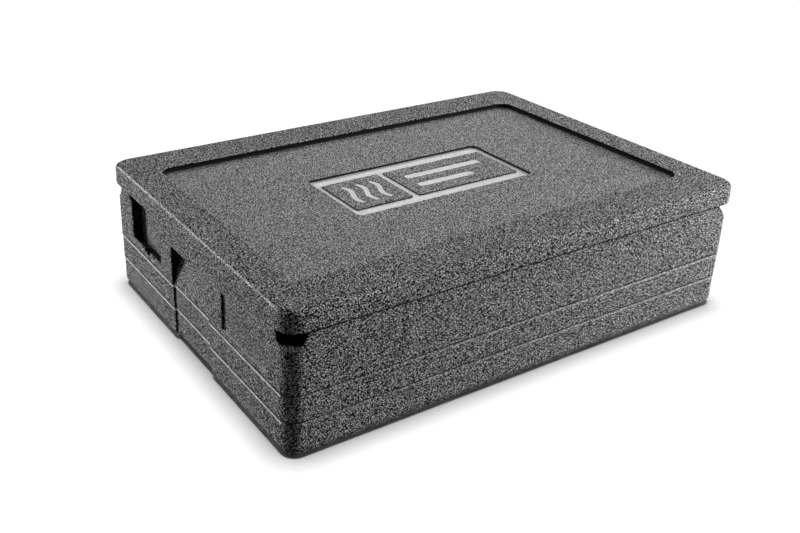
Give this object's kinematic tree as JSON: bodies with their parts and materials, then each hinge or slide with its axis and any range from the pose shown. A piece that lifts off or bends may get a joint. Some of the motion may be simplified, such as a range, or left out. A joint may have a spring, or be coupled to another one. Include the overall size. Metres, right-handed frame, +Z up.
{
  "type": "insulated food carrier",
  "caption": "Flat insulated box in black bead foam for baking sheets, with a loose lift-off lid, end grips and a sunken field in the lid.",
  "frame": {"origin": "on the ground under the middle of the box", "axes": "+X along the box, towards one of the two ends with grips; +Z up"},
  "size_m": [0.685, 0.485, 0.18],
  "materials": {
    "box_foam": "expanded polypropylene bead foam, black, fine grainy skin",
    "lid_foam": "expanded polypropylene bead foam, black, fine grainy skin with a smooth badge"
  },
  "bodies": {
    "box_body": {"box": "box_foam"},
    "lid_body": {"lid": "lid_foam"}
  },
  "joints": [
    {"name": "lid_lift", "type": "slide", "parent": "box_body", "child": "lid_body", "axis": [0, 0, 1], "range_m": [0, 0.15]}
  ]
}
